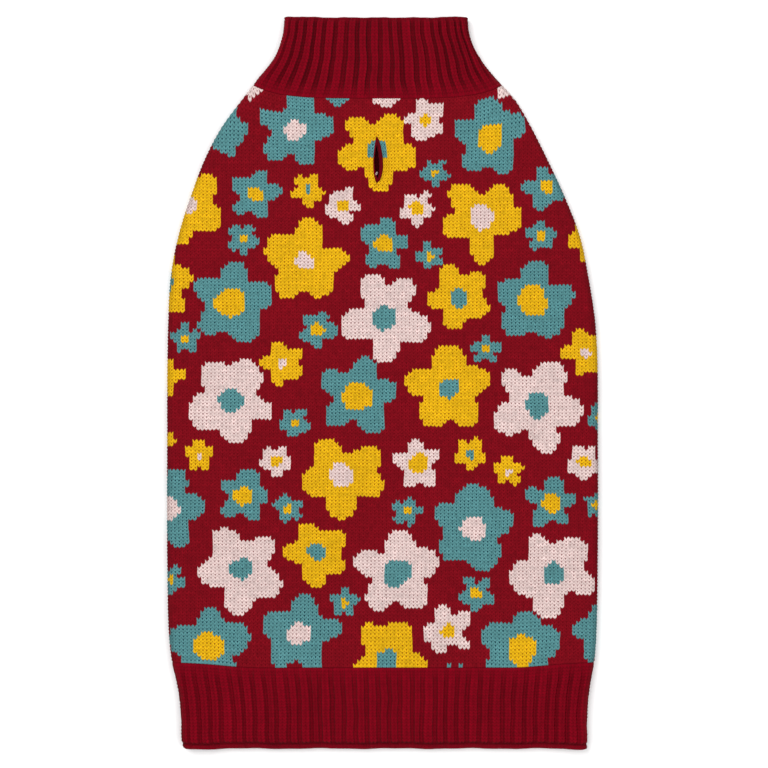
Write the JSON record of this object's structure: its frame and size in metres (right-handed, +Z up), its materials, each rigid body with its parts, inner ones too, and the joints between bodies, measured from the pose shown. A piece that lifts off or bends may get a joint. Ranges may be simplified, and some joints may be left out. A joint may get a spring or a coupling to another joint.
{
  "type": "dog sweater",
  "caption": "Knitted dog sweater laid flat, back up, with a ribbed high collar, a ribbed hem, a leash slit in the back and leg openings in the chest.",
  "frame": {"origin": "middle of the outline, on the surface that the sweater lies on", "axes": "+Y towards the neck, +Z up out of the back, +X to the right as seen from above with the neck up"},
  "size_m": [0.2658, 0.45, 0.0092],
  "materials": {
    "flower_jacquard": "matt jacquard knitting, garnet ground with teal, mustard and blush flowers",
    "plain_knit": "matt plain garnet knitting",
    "rib_knit": "matt ribbed garnet knitting"
  },
  "bodies": {
    "root": {"back_panel": "flower_jacquard", "chest_panel": "plain_knit", "collar_rib": "rib_knit", "hem_rib": "rib_knit", "leg_band_left": "rib_knit", "leg_band_right": "rib_knit"}
  },
  "joints": []
}
